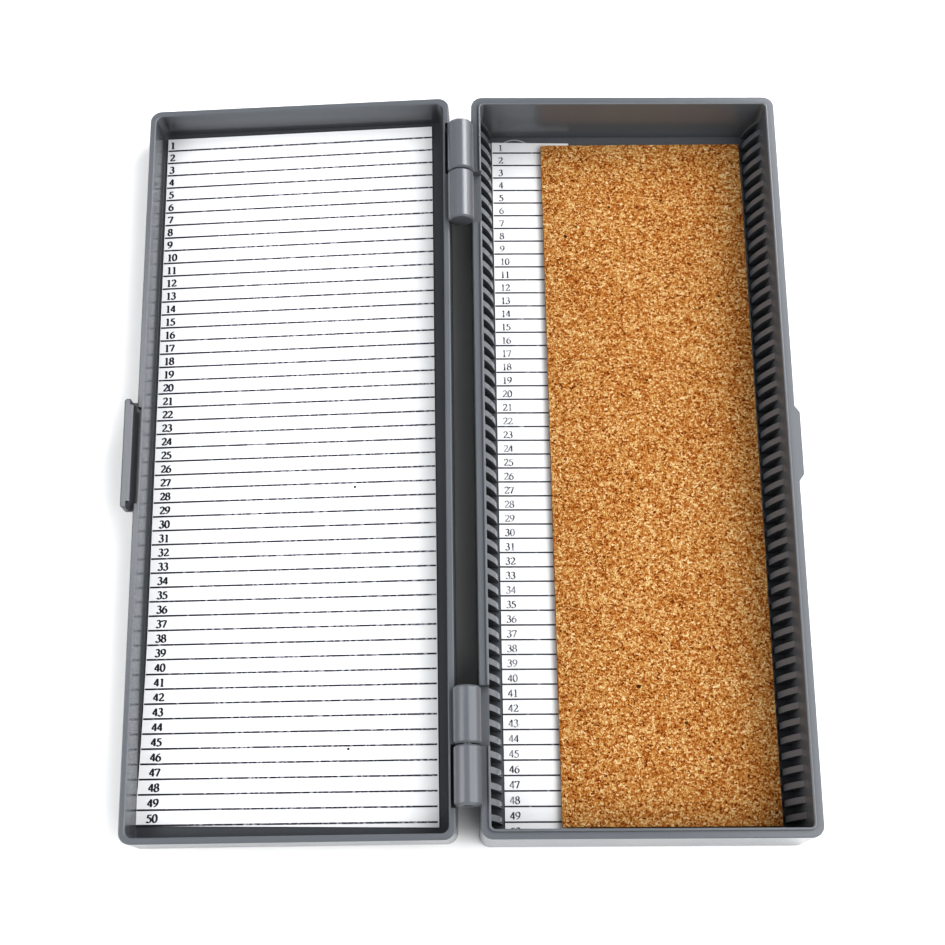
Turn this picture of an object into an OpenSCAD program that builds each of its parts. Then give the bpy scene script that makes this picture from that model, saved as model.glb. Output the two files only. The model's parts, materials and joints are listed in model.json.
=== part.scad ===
// Hinged storage box for microscope slides, lying open.
// Frame: origin at the middle of the base's underside, +Y along the hinge side, +X away from the hinge.

/* [Box] */
// Length of both halves, along the hinge
box_l = 202; // [150:1:260]
// Width of both halves, from the hinge side to the latch side
box_w = 83.6; // [75:0.2:100]
// Radius of the upright outer corners
corner_r = 3; // [2.6:0.2:8]
// Radius of the upright corners inside the base
inner_r = 1.0; // [0.8:0.1:2]
// Radius of the edge round each outer face
edge_r = 0.6; // [0.4:0.1:1.2]
// Bevel along the outer edge of each rim
rim_bevel = 0.25; // [0.1:0.05:0.4]
// Thickness of both floors
floor_t = 1.9; // [1.2:0.1:3]
// Gap left between the two rims when the box is shut
seam = 0.1; // [0.05:0.05:0.3]

/* [Base] */
// Height of the base, from its underside to its flange
base_h = 20.4; // [17:0.2:26]
// Width of the flange that the lid shuts on
flange_w = 1.8; // [1.5:0.05:2.4]
// Thickness of the lip inside the flange
lip_t = 0.7; // [0.6:0.05:1.2]
// Height of the lip above the flange
lip_h = 0.6; // [0.4:0.1:2]
// Radius along the lip's two upper edges
lip_round = 0.3; // [0.1:0.05:0.3]
// How far the base's walls lean in from rim to floor
base_lean = 0.1; // [0.05:0.05:0.6]

/* [Lid] */
// Height of the lid, from its outer face to its rim
lid_h = 12.6; // [10:0.2:17]
// How far the lid's walls lean in from rim to floor
lid_lean = 0.2; // [0.1:0.05:0.5]
// Bevel along the inner edge of the lid's rim
lid_bevel = 0.3; // [0.1:0.05:0.5]
// Play between the base's lip and the lid's walls
lip_play = 0.15; // [0.1:0.05:0.3]

/* [Slide slots] */
// Distance from one slot to the next
slot_pitch = 3.946; // [3:0.002:6]
// Thickness of the ribs between slots
rib_t = 1.65; // [1.2:0.05:2.6]
// How far a rib stands out from the wall, at the floor
rib_out = 3.6; // [2:0.1:5]
// Height of a rib above the floor, at the wall
rib_h = 10.2; // [8:0.2:14]
// Radius of a rib's bowed edge
rib_bow_r = 25; // [16:1:60]

/* [Hinge] */
// Gap between the two rims when the box lies open
hinge_gap = 6.25; // [5:0.05:9]
// How far a knuckle sinks into the wall that carries it
knuckle_bite = 0.4; // [0.1:0.02:0.5]
// Length of the base's knuckles
base_knuckle_l = 14.7; // [8:0.1:20]
// Length of the lid's knuckles
lid_knuckle_l = 14.4; // [8:0.1:20]
// Distance from the end of the box to the first knuckle
hinge_inset = 8.1; // [6:0.1:20]
// Gap between the two knuckles of a hinge
knuckle_gap = 0.3; // [0.2:0.05:0.6]
// Bevel round the ends of the knuckles
knuckle_bevel = 0.5; // [0.1:0.05:0.6]
// Distance from the ends of a knuckle to the foot that joins it to its wall
foot_inset = 3; // [1:0.1:5]
// Depth of the cut in the other half's rim beside a knuckle
notch_d = 2.4; // [1.8:0.1:4]
// Thickness of the lid's wall left inside that cut
notch_wall = 0.6; // [0.4:0.05:1]
// Play at each end of a knuckle in that cut
notch_play = 0.4; // [0.2:0.05:0.8]
// Diameter of the hinge pins
pin_d = 2.4; // [1.6:0.1:3]
// Radial play of the pins in the lid's knuckles
pin_play = 0.05; // [0.02:0.01:0.09]
// Depth of the pins below the open ends of their bores
pin_inset = 0.5; // [0.2:0.1:2]
// Thickness left at the closed ends of those bores
knuckle_end = 1.6; // [1:0.1:4]

/* [Latch] */
// Length of the catch ledge on the base
catch_l = 20.4; // [12:0.2:24]
// How far the ledge stands out
catch_out = 1.2; // [0.8:0.1:2]
// Thickness of the ledge
catch_t = 1.0; // [0.8:0.1:1.6]
// Length of the slant at each end of the ledge
catch_slant = 1.7; // [0.8:0.1:3]
// Length of the latch on the lid
latch_l = 30; // [26:0.5:50]
// Thickness of the latch's plate
latch_t = 1.5; // [1.3:0.1:2]
// Thickness of the web that carries the plate
latch_web_t = 0.9; // [0.6:0.1:1.4]
// Reach of the latch below the lid's rim
latch_drop = 2.2; // [1.6:0.1:5]
// Radius along the plate's upper outer edge
plate_round = 0.4; // [0.2:0.05:0.5]
// Thickness of the hook along the plate's free edge
hook_t = 1.15; // [0.8:0.05:2]
// Distance from the ends of the latch to its hook
hook_inset = 1.7; // [1.4:0.1:4]
// Gap between the hook and the base's wall
hook_gap = 0.5; // [0.2:0.05:0.6]
// Bevel that leads the hook over the ledge
hook_bevel = 0.35; // [0.2:0.05:0.7]
// Play between the latch and the ledge
latch_play = 0.2; // [0.1:0.05:0.4]
// Radius of the latch's upright corners
latch_r = 0.8; // [0.6:0.1:1.3]
// Depth of the shallow cut in the lid's rim behind the latch
latch_cut_d = 1.3; // [0.4:0.1:1.6]
// Width of that cut
latch_cut_w = 1.1; // [0.6:0.05:1.2]
// Distance from the ends of the latch to that cut
latch_cut_inset = 1.7; // [1:0.1:5]

/* [Cork and paper] */
// Width of the cork liner
cork_w = 56; // [40:0.5:62]
// Thickness of the cork liner
cork_t = 2; // [1:0.1:4]
// Corner radius of the cork liner
cork_r = 0.8; // [0.4:0.1:2]
// Gap between the cork and the tips of the ribs
cork_side_gap = 0.8; // [0.2:0.1:3]
// Gap between the cork and the far end wall
cork_far_gap = 3.5; // [1:0.1:8]
// Gap between the cork and the near end wall
cork_near_gap = 2; // [1:0.1:8]
// Thickness of the paper
paper_t = 0.2; // [0.1:0.05:0.4]
// Width of the index strip in the base
strip_w = 21.7; // [14:0.1:30]
// Gap between the index strip and the tips of the ribs
strip_side_gap = 0.3; // [0.2:0.1:2]
// Gap between the index strip and the far end wall
strip_far_gap = 1.7; // [1:0.1:4]
// Gap between the index strip and the near end wall
strip_near_gap = 1.0; // [1:0.1:4]
// Gap between the index sheet and the lid's latch wall
sheet_latch_gap = 1.0; // [0.4:0.1:2]
// Gap between the index sheet and the lid's hinge wall
sheet_hinge_gap = 3.3; // [0.5:0.1:6]
// Gap between the index sheet and the lid's far end wall
sheet_far_gap = 1.2; // [0.8:0.1:4]
// Gap between the index sheet and the lid's near end wall
sheet_near_gap = 3; // [0.8:0.1:6]

/* [Hidden] */
$fn = 64;
// Small overlap that keeps joined solids whole
lap = 0.01;

// Inside of the base: wall at the rim, then the clear space at the floor
rim_t = flange_w + lip_t;
base_inner_l = box_l - 2 * (rim_t + base_lean);
base_inner_w = box_w - 2 * (rim_t + base_lean);
rib_tip_x = base_inner_w / 2 - rib_out;
// The last ribs stand against the end walls
slots = floor((base_inner_l + rib_t) / slot_pitch);

// Inside of the lid
lid_wall = flange_w - lip_play;
lid_inner_r = inner_r + lip_t + lip_play;
lid_inner_l = box_l - 2 * (lid_wall + lid_lean);
lid_inner_w = box_w - 2 * (lid_wall + lid_lean);
lid_depth = lid_h - floor_t;

// Hinge line, and where the knuckles start and end along it
hinge_x = -(box_w + hinge_gap) / 2;
hinge_z = base_h + seam / 2;
knuckle_r = hinge_gap / 2 + knuckle_bite;
base_knuckle_end = box_l / 2 - hinge_inset;
base_knuckle_start = base_knuckle_end - base_knuckle_l;
lid_knuckle_end = base_knuckle_start - knuckle_gap;
lid_knuckle_start = lid_knuckle_end - lid_knuckle_l;
pin_start = lid_knuckle_start + knuckle_end;
pin_end = base_knuckle_end - pin_inset;

// The open lid leans until the round of its far lower edge touches the table
edge_x = hinge_gap / 2 + box_w - lid_lean - edge_r;
edge_z = seam / 2 + lid_h - edge_r;
lid_tilt = asin((hinge_z - edge_r) / norm([edge_x, edge_z])) - atan2(edge_z, edge_x);
echo(lid_tilt = lid_tilt, slots = slots, hinge_x = hinge_x, hinge_z = hinge_z);

// Heights on the latch, measured up from the lid's rim as the open lid lies
hook_start = seam + catch_t + latch_play;
hook_end = hook_start + hook_t;
latch_inner = catch_out + latch_play;
latch_outer = latch_inner + latch_t;

plastic = "#74777c";
cork = "#b97a3e";
paper = "#f2f2f0";
steel = "#b8bcc0";

// Sweeps a wall section round a rectangle with round corners.
// The section's X runs out from the corner's axis, up to the radius r.
module sweep_round(l, w, r) {
    for (i = [0:3]) {
        run = i % 2 == 0 ? l : w;
        reach = i % 2 == 0 ? w : l;
        rotate(90 * i)
            translate([reach / 2 - r, run / 2 - r, 0]) {
                rotate_extrude(angle = 90) children();
                rotate([90, 0, 0]) linear_extrude(run - 2 * r) children();
            }
    }
}

// Block with round upright corners, l by w at its top, whose sides lean in by lean at its foot
module leaning_block(l, w, r, h, lean) {
    sweep_round(l, w, r)
        polygon([[0, 0], [r - lean, 0], [r, h], [0, h]]);
    translate([-(w / 2 - r), -(l / 2 - r), 0])
        cube([w - 2 * r, l - 2 * r, h]);
}

// Outside of one half: round along the foot, bevelled along the rim
module half_block(h, lean) {
    sweep_round(box_l, box_w, corner_r)
        difference() {
            polygon([[0, 0], [corner_r - lean, 0], [corner_r, h - rim_bevel],
                [corner_r - rim_bevel, h], [0, h]]);
            translate([corner_r - lean - edge_r, 0])
                difference() {
                    translate([0, -edge_r]) square([2 * edge_r, 2 * edge_r]);
                    translate([0, edge_r]) circle(edge_r);
                }
        }
    translate([-(box_w / 2 - corner_r), -(box_l / 2 - corner_r), 0])
        cube([box_w - 2 * corner_r, box_l - 2 * corner_r, h]);
}

// Section of a slot rib: its bowed edge falls from the wall to the floor. X runs out from the wall.
module rib_section() {
    chord = norm([rib_out, rib_h]);
    back = sqrt(rib_bow_r ^ 2 - chord ^ 2 / 4);
    root = rim_t / 2;
    intersection() {
        translate([-root, -floor_t / 2])
            square([root + rib_out, floor_t / 2 + rib_h]);
        union() {
            translate([rib_out / 2 - back * rib_h / chord, rib_h / 2 - back * rib_out / chord])
                circle(rib_bow_r, $fn = 180);
            translate([-root, -floor_t / 2]) square([root, floor_t / 2 + rib_h]);
            translate([-root, -floor_t / 2]) square([root + rib_out, floor_t / 2]);
        }
    }
}

// Row of ribs along one long wall, with its slots between them
module rib_row() {
    for (i = [0:slots])
        translate([0, (i - slots / 2) * slot_pitch + rib_t / 2, floor_t])
            rotate([90, 0, 0]) linear_extrude(rib_t) rib_section();
}

// Lip that stands on the inner edge of the base's wall, round along its top
module lip() {
    r = inner_r + lip_t;
    translate([0, 0, base_h - lap])
        sweep_round(box_l - 2 * flange_w, box_w - 2 * flange_w, r)
            union() {
                translate([inner_r, 0]) square([lip_t, lip_h + lap - lip_round]);
                translate([inner_r + lip_round, 0]) square([lip_t - 2 * lip_round, lip_h + lap]);
                for (x = [inner_r + lip_round, r - lip_round])
                    translate([x, lip_h + lap - lip_round]) circle(lip_round);
            }
}

// Knuckle on the hinge line from y0 to y1, with a foot to a wall on its +X side
module knuckle(y0, y1) {
    root = knuckle_r + lid_wall / 3;
    translate([0, y0, 0])
        rotate([-90, 0, 0]) {
            cylinder(knuckle_bevel, knuckle_r - knuckle_bevel, knuckle_r);
            translate([0, 0, knuckle_bevel]) cylinder(y1 - y0 - 2 * knuckle_bevel, r = knuckle_r);
            translate([0, 0, y1 - y0 - knuckle_bevel])
                cylinder(knuckle_bevel, knuckle_r, knuckle_r - knuckle_bevel);
        }
    translate([0, y0 + foot_inset, -knuckle_r])
        cube([root, y1 - y0 - 2 * foot_inset, knuckle_r - seam / 2]);
}

// Bore on the hinge line from y0 to y1
module bore(y0, y1, r) {
    translate([0, y0, 0]) rotate([-90, 0, 0]) cylinder(y1 - y0, r = r);
}

// Puts what is drawn about the hinge line in its place, once for the far hinge and once for the near one
module both_hinges() {
    for (side = [0, 1]) mirror([0, side, 0]) children();
}

// Ledge on the base that the latch hooks under, with slanted ends
module catch_ledge() {
    translate([box_w / 2, 0, base_h - catch_t])
        linear_extrude(catch_t)
            polygon([[-flange_w / 2, -catch_l / 2], [0, -catch_l / 2], [catch_out, catch_slant - catch_l / 2],
                [catch_out, catch_l / 2 - catch_slant], [0, catch_l / 2], [-flange_w / 2, catch_l / 2]]);
}

module base_tray() {
    color(plastic)
        difference() {
            union() {
                difference() {
                    half_block(base_h, base_lean);
                    translate([0, 0, floor_t])
                        leaning_block(box_l - 2 * rim_t, box_w - 2 * rim_t, inner_r,
                            base_h - floor_t + lap, base_lean);
                }
                lip();
                for (side = [0, 180])
                    rotate(side) translate([-base_inner_w / 2, 0, 0]) rib_row();
                both_hinges()
                    translate([hinge_x, 0, hinge_z]) knuckle(base_knuckle_start, base_knuckle_end);
                catch_ledge();
            }
            both_hinges() {
                translate([hinge_x, 0, hinge_z])
                    bore(base_knuckle_start - lap, base_knuckle_end + lap, pin_d / 2);
                translate([-box_w / 2 - flange_w, lid_knuckle_start - notch_play, base_h - notch_d])
                    cube([flange_w + rim_t + base_lean, lid_knuckle_l + 2 * notch_play, notch_d + lip_h + lap]);
            }
        }
}

// Places the lid as it lies open. It is drawn about the hinge line, level, with its rim up.
module open_lid() {
    translate([hinge_x, 0, hinge_z]) rotate([0, -lid_tilt, 0]) children();
}

// Section of the latch's plate: upright, round along its upper outer edge. X runs out from the corner's axis.
module plate_section() {
    square([latch_r - plate_round, latch_drop + hook_end]);
    square([latch_r, latch_drop + hook_end - plate_round]);
    translate([latch_r - plate_round, latch_drop + hook_end - plate_round]) circle(plate_round);
}

// Plate of the latch, with round outer corners
module latch_plate() {
    run = latch_l - 2 * latch_r;
    core = (latch_r - plate_round) / 2;
    translate([latch_r - latch_outer, 0, -latch_drop]) {
        for (end = [0, 1])
            mirror([0, end, 0])
                translate([0, run / 2, 0]) {
                    rotate(90) rotate_extrude(angle = 90) plate_section();
                    rotate([90, 0, 90]) linear_extrude(latch_t - latch_r) plate_section();
                }
        mirror([1, 0, 0])
            translate([0, run / 2, 0])
                rotate([90, 0, 0]) linear_extrude(run) plate_section();
        translate([-core, -run / 2 - core, 0])
            cube([latch_t - latch_r + core, run + 2 * core, latch_drop + hook_end]);
    }
}

// Latch on the lid, drawn about the outer edge of its rim: a web, the plate and a hook along its free edge
module latch() {
    hook_l = latch_l - 2 * hook_inset;
    latch_plate();
    translate([-latch_inner - lap, -latch_l / 2, -latch_drop])
        cube([latch_inner + lap + lid_wall / 2, latch_l, latch_web_t]);
    translate([0, hook_l / 2, 0])
        rotate([90, 0, 0])
            linear_extrude(hook_l)
                polygon([[-latch_inner - lap, hook_start], [-hook_gap, hook_start],
                    [-hook_gap, hook_end - hook_bevel], [-hook_gap - hook_bevel, hook_end],
                    [-latch_inner - lap, hook_end]]);
}

module lid() {
    color(plastic)
        open_lid()
            difference() {
                union() {
                    translate([-(box_w + hinge_gap) / 2, 0, -seam / 2 - lid_h])
                        difference() {
                            half_block(lid_h, lid_lean);
                            translate([0, 0, floor_t])
                                leaning_block(box_l - 2 * lid_wall, box_w - 2 * lid_wall, lid_inner_r,
                                    lid_depth + lap, lid_lean);
                            translate([0, 0, lid_h - lid_bevel])
                                leaning_block(box_l - 2 * (lid_wall - lid_bevel),
                                    box_w - 2 * (lid_wall - lid_bevel), lid_inner_r + lid_bevel,
                                    lid_bevel + lap, lid_bevel);
                        }
                    both_hinges() mirror([1, 0, 0]) knuckle(lid_knuckle_start, lid_knuckle_end);
                    translate([-hinge_gap / 2 - box_w, 0, -seam / 2]) latch();
                }
                both_hinges() {
                    bore(pin_start, lid_knuckle_end + lap, pin_d / 2 + pin_play);
                    translate([notch_wall - lid_wall - hinge_gap / 2, base_knuckle_start - notch_play,
                        -seam / 2 - notch_d])
                        cube([2 * lid_wall, base_knuckle_l + 2 * notch_play, notch_d + lap]);
                }
                translate([-hinge_gap / 2 - box_w, latch_cut_inset - latch_l / 2, -seam / 2 - latch_cut_d])
                    cube([latch_cut_w, latch_l - 2 * latch_cut_inset, latch_cut_d + lap]);
            }
}

module hinge_pin() {
    translate([hinge_x, 0, hinge_z]) bore(pin_start + pin_inset, pin_end, pin_d / 2);
}

module far_hinge_pin() {
    color(steel) hinge_pin();
}

module near_hinge_pin() {
    color(steel) mirror([0, 1, 0]) hinge_pin();
}

module cork_liner() {
    cork_l = base_inner_l - cork_far_gap - cork_near_gap;
    color(cork)
        translate([rib_tip_x - cork_side_gap - cork_w, cork_near_gap - base_inner_l / 2, floor_t + paper_t])
            linear_extrude(cork_t)
                union() {
                    translate([cork_r, 0]) square([cork_w - 2 * cork_r, cork_l]);
                    translate([0, cork_r]) square([cork_w, cork_l - 2 * cork_r]);
                    for (x = [cork_r, cork_w - cork_r], y = [cork_r, cork_l - cork_r])
                        translate([x, y]) circle(cork_r);
                }
}

module base_index_strip() {
    color(paper)
        translate([strip_side_gap - rib_tip_x, strip_near_gap - base_inner_l / 2, floor_t])
            cube([strip_w, base_inner_l - strip_far_gap - strip_near_gap, paper_t]);
}

module lid_index_sheet() {
    color(paper)
        open_lid()
            translate([sheet_latch_gap - (box_w + hinge_gap + lid_inner_w) / 2,
                sheet_near_gap - lid_inner_l / 2, -seam / 2 - lid_depth])
                cube([lid_inner_w - sheet_latch_gap - sheet_hinge_gap,
                    lid_inner_l - sheet_far_gap - sheet_near_gap, paper_t]);
}

base_tray();
cork_liner();
base_index_strip();
far_hinge_pin();
near_hinge_pin();
lid();
lid_index_sheet();
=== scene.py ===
import json
import math

import bmesh
import bpy
from mathutils import Matrix, Vector, noise

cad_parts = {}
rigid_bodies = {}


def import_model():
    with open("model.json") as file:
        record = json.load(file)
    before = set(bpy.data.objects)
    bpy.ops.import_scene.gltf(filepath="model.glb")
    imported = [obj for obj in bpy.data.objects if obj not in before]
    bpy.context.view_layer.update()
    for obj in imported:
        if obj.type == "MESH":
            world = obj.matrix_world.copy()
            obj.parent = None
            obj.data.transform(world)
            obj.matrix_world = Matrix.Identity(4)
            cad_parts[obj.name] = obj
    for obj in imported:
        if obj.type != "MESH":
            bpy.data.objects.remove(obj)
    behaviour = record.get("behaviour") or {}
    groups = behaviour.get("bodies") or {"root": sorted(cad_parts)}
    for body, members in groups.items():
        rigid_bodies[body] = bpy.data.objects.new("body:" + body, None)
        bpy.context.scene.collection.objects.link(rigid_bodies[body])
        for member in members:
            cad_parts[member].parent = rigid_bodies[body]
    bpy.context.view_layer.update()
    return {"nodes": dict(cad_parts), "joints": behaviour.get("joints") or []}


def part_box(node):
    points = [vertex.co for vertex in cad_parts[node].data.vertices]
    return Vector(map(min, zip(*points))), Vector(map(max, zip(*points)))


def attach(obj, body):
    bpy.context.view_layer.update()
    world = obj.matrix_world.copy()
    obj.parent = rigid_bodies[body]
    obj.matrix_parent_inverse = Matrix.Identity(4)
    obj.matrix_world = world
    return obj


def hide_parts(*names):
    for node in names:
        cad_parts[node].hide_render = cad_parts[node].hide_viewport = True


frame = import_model()
scene = bpy.context.scene
mm = 0.001  # the frame is in metres
hinge = frame["joints"][0]
lidTilt = math.radians(hinge["range_deg"][1] - 180)  # the open lid leans this far below level
lidPlace = Matrix.Translation(hinge["pos_m"]) @ Matrix.Rotation(-lidTilt, 4, "Y")
basePlace = Matrix.Identity(4)
print("frame:", len(frame["nodes"]), "nodes, lid tilt", round(math.degrees(lidTilt), 2))


# small helpers

def levelBox(node, place):
    inverse = place.inverted()
    points = [inverse @ v.co for v in frame["nodes"][node].data.vertices]
    low = Vector([min(p[i] for p in points) for i in range(3)])
    high = Vector([max(p[i] for p in points) for i in range(3)])
    return low, high


def feed(tree, socket, value):
    if isinstance(value, bpy.types.NodeSocket):
        tree.links.new(value, socket)
    else:
        socket.default_value = value


def addNode(tree, kind, inputs=None, **settings):
    node = tree.nodes.new(kind)
    for key, value in settings.items():
        setattr(node, key, value)
    for key, value in (inputs or {}).items():
        feed(tree, node.inputs[key], value)
    return node


def mixColours(tree, factor, first, second, blend="MIX"):
    inputs = {0: factor, 6: first, 7: second}  # the sockets of a mix of colours
    return addNode(tree, "ShaderNodeMix", inputs, data_type="RGBA", blend_type=blend).outputs[2]


def ramp(tree, value, *stops):
    node = addNode(tree, "ShaderNodeValToRGB", {"Fac": value})
    elements = node.color_ramp.elements
    while len(elements) < len(stops):
        elements.new(0.5)
    for element, (place, colour) in zip(elements, stops):
        element.position = place
        element.color = colour if len(colour) == 4 else (*colour, 1)
    return node.outputs["Color"]


def calc(tree, operation, *values, clamp=False):
    inputs = dict(enumerate(values))
    return addNode(tree, "ShaderNodeMath", inputs, operation=operation, use_clamp=clamp).outputs[0]


def noiseTone(tree, vector, scale, detail, roughness=0.5, distortion=0):
    return addNode(tree, "ShaderNodeTexNoise", {
        "Vector": vector, "Scale": scale, "Detail": detail, "Roughness": roughness,
        "Distortion": distortion}).outputs["Fac"]


def greyColour(tree, value):
    inputs = {"Red": value, "Green": value, "Blue": value}
    return addNode(tree, "ShaderNodeCombineColor", inputs).outputs["Color"]


def newMaterial(name):
    material = bpy.data.materials.new(name)
    material.use_nodes = True
    tree = material.node_tree
    return material, tree, tree.nodes["Principled BSDF"]


def newGroup(name, inputs, outputs):
    tree = bpy.data.node_groups.new(name, "ShaderNodeTree")
    for label, kind, value in inputs:
        socket = tree.interface.new_socket(label, in_out="INPUT", socket_type=kind)
        if value is not None:
            socket.default_value = value
    for label, kind in outputs:
        tree.interface.new_socket(label, in_out="OUTPUT", socket_type=kind)
    return tree, addNode(tree, "NodeGroupInput"), addNode(tree, "NodeGroupOutput")


def placeGroup(tree, group, inputs):
    return addNode(tree, "ShaderNodeGroup", inputs, node_tree=group).outputs


def objectCoords(tree):
    return addNode(tree, "ShaderNodeTexCoord").outputs["Object"]


def finishPiece(name, bm, material, body):
    mesh = bpy.data.meshes.new(name)
    bm.to_mesh(mesh)
    bm.free()
    piece = bpy.data.objects.new(name, mesh)
    scene.collection.objects.link(piece)
    mesh.materials.append(material)
    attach(piece, body)
    return piece


# camera, matched to the rims of both halves

cameraLook = {
    "place": (-56.7, -145.7, 459.6),  # mm from the middle of the base's underside
    "tilt": 17.45,
    "swing": -0.45,
    "roll": -0.23,
    "sensor": 36,
    "focalPixels": 1783.8,
    "framePixels": 945,
    "shift": 0.04,  # the picture is cropped off the lens's middle
}

cameraData = bpy.data.cameras.new("camera")
cameraData.sensor_width = cameraLook["sensor"]
cameraData.lens = cameraLook["sensor"] * cameraLook["focalPixels"] / cameraLook["framePixels"]
cameraData.shift_x = cameraLook["shift"]
cameraData.clip_start = 0.01
camera = bpy.data.objects.new("camera", cameraData)
scene.collection.objects.link(camera)
camera.location = Vector(cameraLook["place"]) * mm
camera.rotation_mode = "YXZ"
camera.rotation_euler = [math.radians(cameraLook[key]) for key in ("tilt", "swing", "roll")]
scene.camera = camera
print("camera: lens", round(cameraData.lens, 1), "mm")


# floor and light

studio = {
    "floorRadius": 0.65,
    "floorSegments": 96,
    "floorDrop": 0.02,  # mm below the underside
    "floorColour": (0.86, 0.86, 0.86, 1),
    "floorRoughness": 0.9,
    "floorSpecular": 0.1,
    "skyColour": (0.96, 0.98, 1),
    # height in the sky, strength there
    "sky": ((0.02, 1.15), (0.25, 0.75), (0.9, 0.1)),
    # name: place in m, size in m, watts
    "softboxes": {
        "keyRight": ((0.66, 0.1, 0.7), 1.25, 15),
        "backRight": ((0.45, 0.52, 0.65), 0.4, 4.4),
        "frontFill": ((0.42, -0.5, 0.95), 0.9, 6.4),
        "leftFill": ((-0.88, -0.25, 0.75), 0.9, 11),
        "backLeft": ((-0.45, 0.31, 0.9), 0.26, 1.0),
    },
    "aim": (-0.045, 0, 0.01),
    "gamma": 0.8,  # the photo has deep shadows and full whites
}

scene.view_settings.view_transform = "Standard"
scene.view_settings.gamma = studio["gamma"]
world = bpy.data.worlds.new("sky")
scene.world = world
world.use_nodes = True
skyTree = world.node_tree
rise = addNode(skyTree, "ShaderNodeSeparateXYZ", {
    "Vector": addNode(skyTree, "ShaderNodeTexCoord").outputs["Generated"]}).outputs["Z"]
skyShades = [(at, [strength * c for c in studio["skyColour"]]) for at, strength in studio["sky"]]
skyTree.links.new(ramp(skyTree, rise, *skyShades), skyTree.nodes["Background"].inputs["Color"])

floorMaterial, _, floorShader = newMaterial("paleFloor")
floorShader.inputs["Base Color"].default_value = studio["floorColour"]
floorShader.inputs["Roughness"].default_value = studio["floorRoughness"]
floorShader.inputs["Specular IOR Level"].default_value = studio["floorSpecular"]
floorMesh = bmesh.new()
bmesh.ops.create_circle(
    floorMesh, cap_ends=True, segments=studio["floorSegments"], radius=studio["floorRadius"],
    matrix=Matrix.Translation((0, 0, -studio["floorDrop"] * mm)))
floorData = bpy.data.meshes.new("floor")
floorMesh.to_mesh(floorData)
floorMesh.free()
floorData.materials.append(floorMaterial)
floor = bpy.data.objects.new("floor", floorData)
scene.collection.objects.link(floor)

for name, (place, size, watts) in studio["softboxes"].items():
    lampData = bpy.data.lights.new(name, "AREA")
    lampData.size = size
    lampData.energy = watts
    lamp = bpy.data.objects.new(name, lampData)
    scene.collection.objects.link(lamp)
    lamp.location = place
    lamp.rotation_euler = (Vector(studio["aim"]) - Vector(place)).to_track_quat("-Z", "Y").to_euler()
print("studio:", len(studio["softboxes"]), "softboxes")


# shared finishes

def makeMouldGrain():
    tree, inside, outside = newGroup(
        "mouldGrain",
        [("Vector", "NodeSocketVector", None), ("Pit Scale", "NodeSocketFloat", 2600),
         ("Pit Weight", "NodeSocketFloat", 0.6), ("Cloud Scale", "NodeSocketFloat", 55),
         ("Contrast", "NodeSocketFloat", 0.08)],
        [("Shade", "NodeSocketColor"), ("Height", "NodeSocketFloat"), ("Cloud", "NodeSocketFloat")])
    socket = inside.outputs
    pits = noiseTone(tree, socket["Vector"], socket["Pit Scale"], 3, 0.6)
    clouds = noiseTone(tree, socket["Vector"], socket["Cloud Scale"], 4, 0.55)
    pitSwing = calc(tree, "MULTIPLY", calc(tree, "SUBTRACT", pits, 0.5), socket["Pit Weight"])
    swing = calc(tree, "ADD", calc(tree, "SUBTRACT", clouds, 0.5), pitSwing)
    shade = calc(tree, "ADD", calc(tree, "MULTIPLY", swing, socket["Contrast"]), 1)
    tree.links.new(greyColour(tree, shade), outside.inputs["Shade"])
    tree.links.new(pits, outside.inputs["Height"])
    tree.links.new(clouds, outside.inputs["Cloud"])
    return tree


def makePaperFibre():
    tree, inside, outside = newGroup(
        "paperFibre",
        [("Vector", "NodeSocketVector", None), ("Fibre Scale", "NodeSocketFloat", 900),
         ("Blotch Scale", "NodeSocketFloat", 30), ("Contrast", "NodeSocketFloat", 0.05)],
        [("Shade", "NodeSocketColor"), ("Height", "NodeSocketFloat")])
    socket = inside.outputs
    fibres = noiseTone(tree, socket["Vector"], socket["Fibre Scale"], 6, 0.7, 1.2)
    blotches = noiseTone(tree, socket["Vector"], socket["Blotch Scale"], 2)
    swing = calc(tree, "SUBTRACT", calc(tree, "ADD", fibres, blotches), 1)
    shade = calc(tree, "ADD", calc(tree, "MULTIPLY", swing, socket["Contrast"]), 1)
    tree.links.new(greyColour(tree, shade), outside.inputs["Shade"])
    tree.links.new(fibres, outside.inputs["Height"])
    return tree


def makeMouldRing():
    tree, inside, outside = newGroup(
        "mouldRing",
        [("Vector", "NodeSocketVector", None), ("Normal", "NodeSocketVector", None),
         ("Centre", "NodeSocketVector", (0, 0, 0)), ("Radius", "NodeSocketFloat", 0.005),
         ("Width", "NodeSocketFloat", 0.0003)],
        [("Mask", "NodeSocketFloat")])
    socket = inside.outputs
    away = addNode(tree, "ShaderNodeVectorMath", {0: socket["Vector"], 1: socket["Centre"]},
                   operation="DISTANCE").outputs["Value"]
    off = calc(tree, "ABSOLUTE", calc(tree, "SUBTRACT", away, socket["Radius"]))
    mask = calc(tree, "SUBTRACT", 1, calc(tree, "DIVIDE", off, socket["Width"]), clamp=True)
    facing = addNode(tree, "ShaderNodeSeparateXYZ", {"Vector": socket["Normal"]}).outputs["Z"]
    upward = calc(tree, "GREATER_THAN", facing, 0.5)  # the inside of the floor, not its outside
    mask = calc(tree, "MULTIPLY", mask, upward)
    tree.links.new(mask, outside.inputs["Mask"])
    return tree


mouldGrain = makeMouldGrain()
mouldRing = makeMouldRing()
paperFibre = makePaperFibre()
print("shared finishes: mould grain, mould ring, paper fibre")


# grey plastic of both halves

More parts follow.
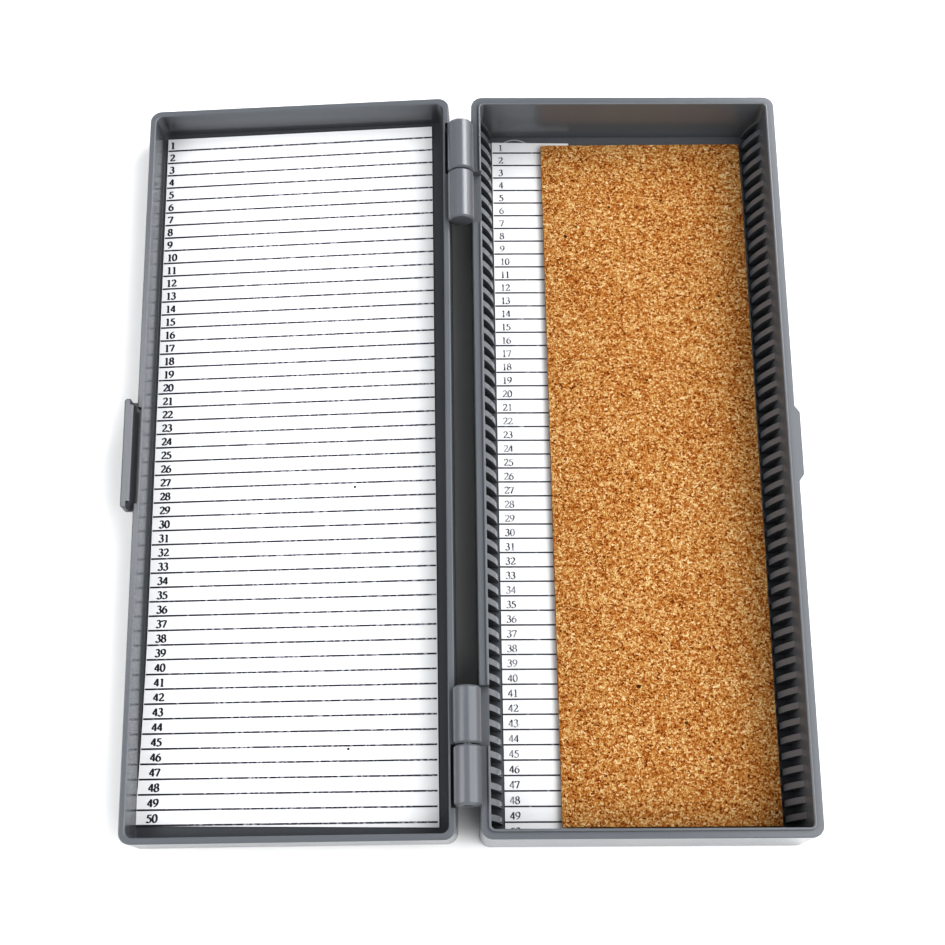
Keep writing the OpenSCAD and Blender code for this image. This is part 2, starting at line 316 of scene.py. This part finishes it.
mouldedGrey = {
    "colour": (0.114, 0.122, 0.134, 1),
    "roughness": 0.21,
    "roughnessSwing": 0.06,
    "specular": 0.5,
    "grainStrength": 0.35,
    "grainDepth": 0.012,  # mm, as the lengths below
    "easedEdge": 0.2,
    "paintedShadeReach": 8,  # painted shade: corners and slots are painted darker within this reach
    "ringWidth": 0.3,
}
# each half: how open a place is and the painted shade it gets there (on the lid the deepest slots get less
# painted shade than the wall feet), then the round mark that the mould left on its floor
baseShadeAndRing = {
    "paintedShades": ((0.1, 0.22), (0.6, 0.85), (0.95, 1)),
    "ringCentre": Vector((-29, 92, 1.9)) * mm,
    "ringRadius": 5.6,
    "ringGrey": 0.4,
}
lidFloor = levelBox("lid_index_sheet", lidPlace)[0].z
lidShadeAndRing = {
    "paintedShades": ((0.1, 0.75), (0.3, 0.6), (0.62, 0.4), (0.92, 1)),
    "ringCentre": lidPlace @ Vector((-10.9 * mm, -90.5 * mm, lidFloor)),
    "ringRadius": 4.8,
    "ringGrey": 0.08,
}


def makePlastic(name, settings, shadeAndRing):
    material, tree, shader = newMaterial(name)
    coords = addNode(tree, "ShaderNodeTexCoord").outputs
    grain = placeGroup(tree, mouldGrain, {"Vector": coords["Object"]})
    colour = mixColours(tree, 1.0, settings["colour"], grain["Shade"], "MULTIPLY")
    # painted shade: the colour is darkened by how enclosed a place is, in corners, slots and at the feet of
    # walls
    openness = addNode(tree, "ShaderNodeAmbientOcclusion", {"Distance": settings["paintedShadeReach"] * mm},
                       samples=6, only_local=True).outputs["AO"]
    shade = ramp(tree, openness, *[(at, (grey, grey, grey)) for at, grey in shadeAndRing["paintedShades"]])
    colour = mixColours(tree, 1.0, colour, shade, "MULTIPLY")
    ring = placeGroup(tree, mouldRing, {
        "Vector": coords["Object"], "Normal": coords["Normal"], "Centre": shadeAndRing["ringCentre"],
        "Radius": shadeAndRing["ringRadius"] * mm, "Width": settings["ringWidth"] * mm})
    colour = mixColours(tree, ring["Mask"], colour, (*[shadeAndRing["ringGrey"]] * 3, 1))
    tree.links.new(colour, shader.inputs["Base Color"])
    rough = calc(tree, "MULTIPLY_ADD", grain["Cloud"], settings["roughnessSwing"],
                 settings["roughness"] - settings["roughnessSwing"] / 2)
    tree.links.new(rough, shader.inputs["Roughness"])
    shader.inputs["Specular IOR Level"].default_value = settings["specular"]
    eased = addNode(tree, "ShaderNodeBevel", {"Radius": settings["easedEdge"] * mm}, samples=4)
    bump = addNode(tree, "ShaderNodeBump", {
        "Strength": settings["grainStrength"], "Distance": settings["grainDepth"] * mm,
        "Height": grain["Height"], "Normal": eased.outputs["Normal"]})
    tree.links.new(bump.outputs["Normal"], shader.inputs["Normal"])
    return material


def dressNode(node, material):
    slots = frame["nodes"][node].material_slots
    if not slots:
        frame["nodes"][node].data.materials.append(material)
    for slot in slots:
        slot.material = material


dressNode("base_tray", makePlastic("basePlastic", mouldedGrey, baseShadeAndRing))
dressNode("lid", makePlastic("lidPlastic", mouldedGrey, lidShadeAndRing))
print("plastic: base_tray and lid dressed")


# hinge pins

pinWire = {
    "colour": (0.62, 0.63, 0.64, 1),
    "streakColour": (0.4, 0.41, 0.42, 1),
    "streaks": (4000, 40, 4000),  # per metre, long along the pin
    "roughness": 0.28,
    "roughnessSwing": 0.15,
}


def makePinSteel(settings):
    material, tree, shader = newMaterial("drawnSteel")
    drawn = addNode(tree, "ShaderNodeMapping", {"Vector": objectCoords(tree), "Scale": settings["streaks"]})
    streaks = noiseTone(tree, drawn.outputs["Vector"], 1, 2)
    colour = mixColours(tree, streaks, settings["colour"], settings["streakColour"])
    tree.links.new(colour, shader.inputs["Base Color"])
    shader.inputs["Metallic"].default_value = 1
    rough = calc(tree, "MULTIPLY_ADD", streaks, settings["roughnessSwing"], settings["roughness"])
    tree.links.new(rough, shader.inputs["Roughness"])
    return material


pinSteel = makePinSteel(pinWire)
for node in ("far_hinge_pin", "near_hinge_pin"):
    dressNode(node, pinSteel)


# thin slabs: cork and paper share one way of making

def makeSlab(low, high, counts, liftTop, liftBottom, place, wander=None):
    bm = bmesh.new()
    nx, ny = counts
    layers = []
    for z, lift in ((high.z, liftTop), (low.z, liftBottom)):
        rows = []
        for j in range(ny + 1):
            row = []
            for i in range(nx + 1):
                x = low.x + (high.x - low.x) * i / nx
                y = low.y + (high.y - low.y) * j / ny
                point = Vector((x, y, z + lift(x, y)))
                if wander:
                    point += wander(point, i in (0, nx), j in (0, ny))
                row.append(bm.verts.new(place @ point))
            rows.append(row)
        layers.append(rows)
    top, bottom = layers
    for j in range(ny):
        for i in range(nx):
            bm.faces.new((top[j][i], top[j][i + 1], top[j + 1][i + 1], top[j + 1][i]))
            bm.faces.new((bottom[j][i], bottom[j + 1][i], bottom[j + 1][i + 1], bottom[j][i + 1]))
    rim = ([(j, 0) for j in range(ny, 0, -1)] + [(0, i) for i in range(nx)]
           + [(j, nx) for j in range(ny)] + [(ny, i) for i in range(nx, 0, -1)])
    for (j, i), (jNext, iNext) in zip(rim, rim[1:] + rim[:1]):
        bm.faces.new((top[j][i], bottom[j][i], bottom[jNext][iNext], top[jNext][iNext]))
    return bm


# cork liner

corkSheet = {
    "cell": 0.75,  # mm between the points of its surface
    "relief": 0.05,
    "reliefScale": 0.9,  # per mm
    "reliefSink": 0.6,  # keeps the highest points below the sheet's top
    "edgeWander": 0.1,
    "edgeScale": 0.55,
    "edgeSeed": 4,
    # per metre, stretch and weight of two sizes of granule
    "chunks": (1700, (1, 1.3, 1), 0.54),
    "chips": (3200, (1.35, 0.9, 1), 0.48),
    # per metre and weight of softer changes
    "grains": (4000, 0.6),
    "patches": (90, 0.2),
    "wobbleScale": 900,
    "wobble": 0.7,
    "tones": ((0.08, (0.075, 0.013, 0.002)), (0.28, (0.25, 0.07, 0.008)), (0.5, (0.348, 0.158, 0.038)),
              (0.72, (0.45, 0.286, 0.11)), (0.92, (0.56, 0.465, 0.29))),
    "fleckScale": 330,
    "fleckSize": 0.17,
    "fleckLimit": 0.78,  # cells of a higher draw than this hold a fleck
    "fleckStrength": 0.85,
    "fleckColour": (0.017, 0.005, 0.002, 1),
    "roughness": 0.8,
    "specular": 0.05,
    "bumpStrength": 0.7,
    "bumpDepth": 0.3,
    # how far its corners lie from the level rectangle, in mm: far left, far right, near left, near right
    "askew": ((-0.45, -0.2), (-0.2, 0.1), (0.5, 0), (0.2, 0)),
}


def makeCork(settings):
    material, tree, shader = newMaterial("pressedCork")
    coords = objectCoords(tree)

    def vectorMath(operation, first, second, socket=1):
        inputs = {0: first, socket: second}
        return addNode(tree, "ShaderNodeVectorMath", inputs, operation=operation).outputs["Vector"]

    def cells(scale, vector):
        return addNode(tree, "ShaderNodeTexVoronoi", {"Vector": vector, "Scale": scale}).outputs

    def split(colour):
        return addNode(tree, "ShaderNodeSeparateColor", {"Color": colour}).outputs

    def swing(value, weight):
        return calc(tree, "MULTIPLY", calc(tree, "SUBTRACT", value, 0.5), weight)

    wobble = addNode(tree, "ShaderNodeTexNoise", {
        "Vector": coords, "Scale": settings["wobbleScale"], "Detail": 2}).outputs["Color"]
    offset = vectorMath("ADD", wobble, (-0.5, -0.5, -0.5))
    offset = vectorMath("SCALE", offset, settings["wobble"] * mm, "Scale")
    bent = vectorMath("ADD", coords, offset)

    def granules(scale, stretch, weight):
        return swing(split(cells(scale, vectorMath("MULTIPLY", bent, stretch))["Color"])["Red"], weight)

    def softer(vector, scale, weight):
        return swing(noiseTone(tree, vector, scale, 3, 0.6), weight)

    tone = calc(tree, "ADD", granules(*settings["chunks"]), granules(*settings["chips"]))
    tone = calc(tree, "ADD", tone, softer(bent, *settings["grains"]))
    tone = calc(tree, "ADD", tone, calc(tree, "ADD", softer(coords, *settings["patches"]), 0.5))
    colour = ramp(tree, tone, *settings["tones"])
    flecks = cells(settings["fleckScale"], bent)
    draw = split(flecks["Color"])
    reach = calc(tree, "MULTIPLY", draw["Green"], settings["fleckSize"])
    near = calc(tree, "LESS_THAN", flecks["Distance"], reach)
    dark = calc(tree, "MULTIPLY", near, calc(tree, "GREATER_THAN", draw["Red"], settings["fleckLimit"]))
    dark = calc(tree, "MULTIPLY", dark, settings["fleckStrength"])
    colour = mixColours(tree, dark, colour, settings["fleckColour"])
    tree.links.new(colour, shader.inputs["Base Color"])
    shader.inputs["Roughness"].default_value = settings["roughness"]
    shader.inputs["Specular IOR Level"].default_value = settings["specular"]
    bump = addNode(tree, "ShaderNodeBump", {
        "Strength": settings["bumpStrength"], "Distance": settings["bumpDepth"] * mm, "Height": tone})
    tree.links.new(bump.outputs["Normal"], shader.inputs["Normal"])
    return material


# offset of a point of a sheet that lies a little askew, from the offsets of its four corners

def makeSkew(low, high, corners):
    farLeft, farRight, nearLeft, nearRight = [Vector((*corner, 0)) * mm for corner in corners]

    def skew(point):
        u = (point.x - low.x) / (high.x - low.x)
        v = (point.y - low.y) / (high.y - low.y)
        return nearLeft.lerp(nearRight, u).lerp(farLeft.lerp(farRight, u), v)

    return skew


def corkLift(x, y):
    here = Vector((x, y, 0)) / mm
    return corkSheet["relief"] * mm * (noise.noise(here * corkSheet["reliefScale"]) - corkSheet["reliefSink"])


corkLow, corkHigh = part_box("cork_liner")
corkSkew = makeSkew(corkLow, corkHigh, corkSheet["askew"])
noise.seed_set(corkSheet["edgeSeed"])  # without it the edge wanders differently in every run


def corkWander(point, onLong, onShort):
    along = corkSheet["edgeWander"] * mm * noise.noise_vector(point / mm * corkSheet["edgeScale"])
    return Vector((along.x if onLong else 0, along.y if onShort else 0, 0)) + corkSkew(point)


corkCounts = [round((corkHigh[i] - corkLow[i]) / mm / corkSheet["cell"]) for i in range(2)]
corkMesh = makeSlab(corkLow, corkHigh, corkCounts, corkLift, lambda x, y: 0, basePlace, corkWander)
cork = finishPiece("corkLiner", corkMesh, makeCork(corkSheet), "base")
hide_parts("cork_liner")
print("cork:", len(cork.data.polygons), "faces")


# paper and ink

paperLook = {
    "colour": (0.665, 0.67, 0.68, 1),
    "roughness": 0.65,
    "bumpStrength": 0.2,
    "bumpDepth": 0.02,
}
inkLook = {
    "roughness": 0.6,
    "solidWidth": 25,  # mm from the left edge over which the print is less worn
    "solidGain": 0.12,
    "wearEdge": 0.05,
}


def makePaper(name, settings):
    material, tree, shader = newMaterial(name)
    fibre = placeGroup(tree, paperFibre, {"Vector": objectCoords(tree)})
    colour = mixColours(tree, 1.0, settings["colour"], fibre["Shade"], "MULTIPLY")
    tree.links.new(colour, shader.inputs["Base Color"])
    shader.inputs["Roughness"].default_value = settings["roughness"]
    bump = addNode(tree, "ShaderNodeBump", {
        "Strength": settings["bumpStrength"], "Distance": settings["bumpDepth"] * mm,
        "Height": fibre["Height"]})
    tree.links.new(bump.outputs["Normal"], shader.inputs["Normal"])
    return material


def makeInk(name, settings, breakUp, left):
    material, tree, shader = newMaterial(name)
    coords = objectCoords(tree)
    wear = noiseTone(tree, coords, settings["wearScale"], 3)
    across = addNode(tree, "ShaderNodeSeparateXYZ", {"Vector": coords}).outputs["X"]
    solid = addNode(tree, "ShaderNodeMapRange", {
        "Value": across, "From Min": left, "From Max": left + inkLook["solidWidth"] * mm,
        "To Min": inkLook["solidGain"], "To Max": 0}).outputs["Result"]
    colour = ramp(tree, calc(tree, "SUBTRACT", wear, solid), (breakUp, settings["ink"]),
                  (breakUp + inkLook["wearEdge"], settings["wornInk"]))
    tree.links.new(colour, shader.inputs["Base Color"])
    shader.inputs["Roughness"].default_value = inkLook["roughness"]
    return material


whitePaper = makePaper("indexPaper", paperLook)


# digits drawn with a broad pen: thick down, thin across

penNib = {"angle": 18, "step": 15, "width": 0.64}


def arc(cx, cy, rx, ry, start, sweep):
    count = max(2, round(abs(sweep) / penNib["step"]))
    angles = [math.radians(start + sweep * i / count) for i in range(count + 1)]
    return [(cx + rx * math.cos(a), cy + ry * math.sin(a)) for a in angles]


digitStrokes = [
    [arc(0.31, 0.5, 0.24, 0.48, 0, 360)],
    [[(0.33, 0.98), (0.33, 0.02)], [(0.15, 0.86), (0.33, 0.97)], [(0.16, 0.02), (0.5, 0.02)]],
    [arc(0.29, 0.71, 0.22, 0.26, 165, -195) + [(0.06, 0.05)], [(0.04, 0.06), (0.57, 0.06)],
     [(0.56, 0.06), (0.6, 0.2)]],
    [arc(0.27, 0.76, 0.19, 0.22, 150, -240), arc(0.26, 0.28, 0.25, 0.27, 95, -250)],
    [[(0.42, 0.97), (0.03, 0.3)], [(0.02, 0.28), (0.6, 0.28)], [(0.42, 0.97), (0.42, 0.02)]],
    [[(0.19, 0.93), (0.56, 0.93)], [(0.2, 0.94), (0.13, 0.56)], arc(0.25, 0.31, 0.27, 0.29, 120, -265)],
    [arc(0.31, 0.3, 0.24, 0.28, 0, 360), arc(0.63, 0.3, 0.56, 0.67, 180, -78)],
    [[(0.05, 0.92), (0.58, 0.92)], [(0.57, 0.94), (0.24, 0.02)], [(0.05, 0.94), (0.03, 0.76)]],
    [arc(0.3, 0.75, 0.19, 0.23, 0, 360), arc(0.3, 0.27, 0.24, 0.25, 0, 360)],
    [arc(0.31, 0.69, 0.24, 0.28, 0, 360), arc(-0.01, 0.69, 0.56, 0.67, 0, -78)],
]


def drawStroke(bm, points, nib):
    steps = [Vector(p) for p in points]
    sides = []
    thin, thick = nib
    for i, here in enumerate(steps):
        way = (steps[min(i + 1, len(steps) - 1)] - steps[max(i - 1, 0)]).normalized()
        lean = math.atan2(way.y, way.x) - math.radians(penNib["angle"])
        width = thin + (thick - thin) * abs(math.sin(lean))
        across = Vector((-way.y, way.x)) * width / 2
        sides.append([bm.verts.new((*(here + side), 0)) for side in (across, -across)])
    for (leftA, rightA), (leftB, rightB) in zip(sides, sides[1:]):
        bm.faces.new((leftA, rightA, rightB, leftB))


def makeDigits(nib):
    shelf = bpy.data.collections.new("digits")
    for value, strokes in enumerate(digitStrokes):
        bm = bmesh.new()
        for stroke in strokes:
            drawStroke(bm, stroke, nib)
        bmesh.ops.recalc_face_normals(bm, faces=bm.faces)
        for face in bm.faces:
            if face.normal.z < 0:
                face.normal_flip()
        mesh = bpy.data.meshes.new(f"digit{value}")
        bm.to_mesh(mesh)
        bm.free()
        shelf.objects.link(bpy.data.objects.new(f"digit{value}", mesh))
    return shelf


# printed rows, made with nodes: lines on a pitch, and numbers picked digit by digit

sheetMake = {
    "counts": (24, 120),
    "linePoints": 33,  # along each line, so that it follows the sheet's waves
    "inkGap": 0.03,  # mm from the paper up to the print
    "wavePhase": 0.6,
    "flareReach": 0.3,  # share of the length over which the near end widens
    "speckSides": 7,
}


def newNodeTree(name, inputs):
    tree = bpy.data.node_groups.new(name, "GeometryNodeTree")
    tree.is_modifier = True
    tree.interface.new_socket("Geometry", in_out="INPUT", socket_type="NodeSocketGeometry")
    for label, kind in inputs:
        tree.interface.new_socket(label, in_out="INPUT", socket_type=kind)
    tree.interface.new_socket("Geometry", in_out="OUTPUT", socket_type="NodeSocketGeometry")
    return tree, addNode(tree, "NodeGroupInput").outputs, addNode(tree, "NodeGroupOutput").inputs


def makeLineTree():
    tree, given, result = newNodeTree("printedLines", [
        ("Rows", "NodeSocketInt"), ("First", "NodeSocketVector"), ("Step", "NodeSocketVector"),
        ("First Turn", "NodeSocketFloat"), ("Turn Step", "NodeSocketFloat"),
        ("Length", "NodeSocketFloat"), ("Weight", "NodeSocketFloat"), ("Ink", "NodeSocketMaterial")])
    points = addNode(tree, "GeometryNodeMeshLine", {
        "Count": given["Rows"], "Start Location": given["First"], "Offset": given["Step"]})
    bar = addNode(tree, "GeometryNodeMeshGrid", {
        "Size X": given["Length"], "Size Y": given["Weight"], "Vertices X": sheetMake["linePoints"],
        "Vertices Y": 2})
    row = addNode(tree, "GeometryNodeInputIndex").outputs["Index"]
    turn = calc(tree, "MULTIPLY_ADD", row, given["Turn Step"], given["First Turn"])
    copies = addNode(tree, "GeometryNodeInstanceOnPoints", {
        "Points": points.outputs["Mesh"], "Instance": bar.outputs["Mesh"],
        "Rotation": addNode(tree, "ShaderNodeCombineXYZ", {"Z": turn}).outputs["Vector"]})
    real = addNode(tree, "GeometryNodeRealizeInstances", {"Geometry": copies.outputs["Instances"]})
    inked = addNode(tree, "GeometryNodeSetMaterial", {
        "Geometry": real.outputs["Geometry"], "Material": given["Ink"]})
    tree.links.new(inked.outputs["Geometry"], result["Geometry"])
    return tree


def makeNumberTree():
    tree, given, result = newNodeTree("printedNumbers", [
        ("Digits", "NodeSocketCollection"), ("Size", "NodeSocketVector"), ("Ink", "NodeSocketMaterial")])
    shelf = addNode(tree, "GeometryNodeCollectionInfo", {
        "Collection": given["Digits"], "Separate Children": True, "Reset Children": True})
    value = addNode(tree, "GeometryNodeInputNamedAttribute", {"Name": "digit"}, data_type="INT")
    copies = addNode(tree, "GeometryNodeInstanceOnPoints", {
        "Points": given["Geometry"], "Instance": shelf.outputs["Instances"], "Pick Instance": True,
        "Instance Index": value.outputs["Attribute"], "Scale": given["Size"]})
    real = addNode(tree, "GeometryNodeRealizeInstances", {"Geometry": copies.outputs["Instances"]})
    inked = addNode(tree, "GeometryNodeSetMaterial", {
        "Geometry": real.outputs["Geometry"], "Material": given["Ink"]})
    tree.links.new(inked.outputs["Geometry"], result["Geometry"])
    return tree


def runNodes(name, mesh, tree, values):
    piece = bpy.data.objects.new(name, mesh)
    scene.collection.objects.link(piece)
    modifier = piece.modifiers.new("nodes", "NODES")
    modifier.node_group = tree
    for item in tree.interface.items_tree:
        if item.in_out == "INPUT" and item.name in values:
            modifier[item.identifier] = values[item.name]
    bpy.context.view_layer.update()
    evaluated = piece.evaluated_get(bpy.context.evaluated_depsgraph_get())
    result = bpy.data.meshes.new_from_object(evaluated)
    piece.modifiers.clear()
    piece.data = result
    return piece


def numberPoints(rows, firstY, pitch, column, advance):
    points, digits = [], []
    for row in range(rows):
        left = column(row / (rows - 1))
        for place, letter in enumerate(str(row + 1)):
            points.append((left + place * advance, firstY - row * pitch, 0))
            digits.append(int(letter))
    mesh = bpy.data.meshes.new("numberPoints")
    mesh.from_pydata(points, [], [])
    mesh.attributes.new("digit", "INT", "POINT").data.foreach_set("value", digits)
    return mesh


def layOnSheet(piece, height, lift, flare, place, body):
    for v in piece.data.vertices:
        x, y, z = v.co
        v.co = place @ Vector((x + flare(x, y), y, height + lift(x, y)))
    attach(piece, body)


def makeSpecks(name, specks, ink):
    bm = bmesh.new()
    for x, y, radius in specks:
        bmesh.ops.create_circle(bm, cap_ends=True, segments=sheetMake["speckSides"], radius=radius * mm,
                                matrix=Matrix.Translation((x * mm, y * mm, 0)))
    mesh = bpy.data.meshes.new(name)
    bm.to_mesh(mesh)
    bm.free()
    mesh.materials.append(ink)
    piece = bpy.data.objects.new(name, mesh)
    scene.collection.objects.link(piece)
    return piece


lineTree = makeLineTree()
numberTree = makeNumberTree()


def printSheet(name, settings, node, place, body):
    low, high = levelBox(node, place)
    length = high.x - low.x

    def share(x, y):
        return (x - low.x) / length, (y - low.y) / (high.y - low.y)

    def lift(x, y):
        u, v = share(x, y)
        wave = math.sin(math.pi * u) * math.sin(settings["waves"] * math.pi * v + sheetMake["wavePhase"])
        return mm * settings["waveHeight"] * (wave + 1) / 2

    def flare(x, y):
        u, v = share(x, y)
        return -settings["flare"] * mm * (1 - u) * max(0, 1 - v / sheetMake["flareReach"]) ** 2

    def column(t):
        return low.x + mm * (settings["columnTop"] * (1 - t) + settings["columnEnd"] * t)

    def wander(point, onLong, onShort):
        return skew(point) + Vector((flare(point.x, point.y), 0, 0))

    skew = makeSkew(low, high, settings["askew"])
    slab = makeSlab(low, high, sheetMake["counts"], lift, lift, place, wander)
    paper = finishPiece(name, slab, whitePaper, body)
    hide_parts(node)
    lineInk = makeInk(name + "LineInk", settings, settings["lineWear"], (place @ low).x)
    digitInk = makeInk(name + "DigitInk", settings, settings["digitWear"], (place @ low).x)
    firstLeft, firstRight = settings["firstLine"]
    lastLeft, lastRight = settings["lastLine"]
    spaces = settings["lines"] - 1
    firstTurn = (firstRight - firstLeft) * mm / length
    lastTurn = (lastRight - lastLeft) * mm / length
    middle = (firstLeft + firstRight) / 2
    lines = runNodes(name + "Lines", bpy.data.meshes.new("lines"), lineTree, {
        "Rows": settings["lines"], "First": (low.x + length / 2, middle * mm, 0),
        "Step": (0, ((lastLeft + lastRight) / 2 - middle) * mm / spaces, 0),
        "First Turn": firstTurn, "Turn Step": (lastTurn - firstTurn) / spaces,
        "Length": length - 2 * settings["lineInset"] * mm, "Weight": settings["lineWeight"] * mm,
        "Ink": lineInk})
    firstY = (firstLeft + settings["numberRise"]) * mm
    pitch = (firstLeft - lastLeft) * mm / spaces
    advance = settings["advance"] * mm
    height = settings["digitHeight"] * mm
    points = numberPoints(settings["rows"], firstY, pitch, column, advance)
    shelf = makeDigits(settings["nib"])
    numbers = runNodes(name + "Numbers", points, numberTree, {
        "Digits": shelf, "Size": (advance / penNib["width"], height, height), "Ink": digitInk})
    for digit in list(shelf.objects):
        bpy.data.objects.remove(digit)
    bpy.data.collections.remove(shelf)
    prints = [lines, numbers]
    if settings["specks"]:
        prints.append(makeSpecks(name + "Specks", settings["specks"], digitInk))
    for piece in prints:
        layOnSheet(piece, high.z + sheetMake["inkGap"] * mm, lift, flare, place, body)
    print(name + ":", len(lines.data.polygons), "line faces,", len(numbers.data.polygons), "digit faces")


# distances in mm; y of the line ends left and right, numbers set from the left edge
lidSheet = {
    "rows": 50, "lines": 50, "firstLine": (94.05, 94.67), "lastLine": (-95.24, -95.5),
    "lineWeight": 0.44, "lineInset": 0.05,
    "digitHeight": 2.05, "advance": 1.42, "nib": (0.1, 0.24), "numberRise": 0.7,
    "columnTop": 0.55, "columnEnd": 2.7,
    "waves": 5, "waveHeight": 0.15,
    "ink": (0.005, 0.005, 0.016), "wornInk": (0.26, 0.26, 0.3), "wearScale": 1300,
    "lineWear": 0.53, "digitWear": 0.72,
    "askew": ((-0.1, -0.2), (-0.35, 0.1), (-0.1, 0.8), (0.35, -0.7)), "flare": 1.2,
    "specks": ((-29.72, -7.46, 0.36), (-51.44, -56.62, 0.3), (-30.76, -76.86, 0.36)),
}
baseStrip = {
    "rows": 50, "lines": 49, "firstLine": (93.4, 93.4), "lastLine": (-94.85, -94.85),
    "lineWeight": 0.4, "lineInset": 0.05,
    "digitHeight": 1.95, "advance": 1.32, "nib": (0.05, 0.18), "numberRise": 0.62,
    "columnTop": 1.65, "columnEnd": 1.5,
    "waves": 3, "waveHeight": 0.1,
    "ink": (0.018, 0.018, 0.026), "wornInk": (0.22, 0.22, 0.25), "wearScale": 700,
    "lineWear": 0.56, "digitWear": 0.37,
    "askew": ((-0.15, 0), (0, -0.3), (0.2, 0), (0, 0)), "flare": 0, "specks": (),
}
printSheet("lidSheet", lidSheet, "lid_index_sheet", lidPlace, "lid")
printSheet("baseStrip", baseStrip, "base_index_strip", basePlace, "base")
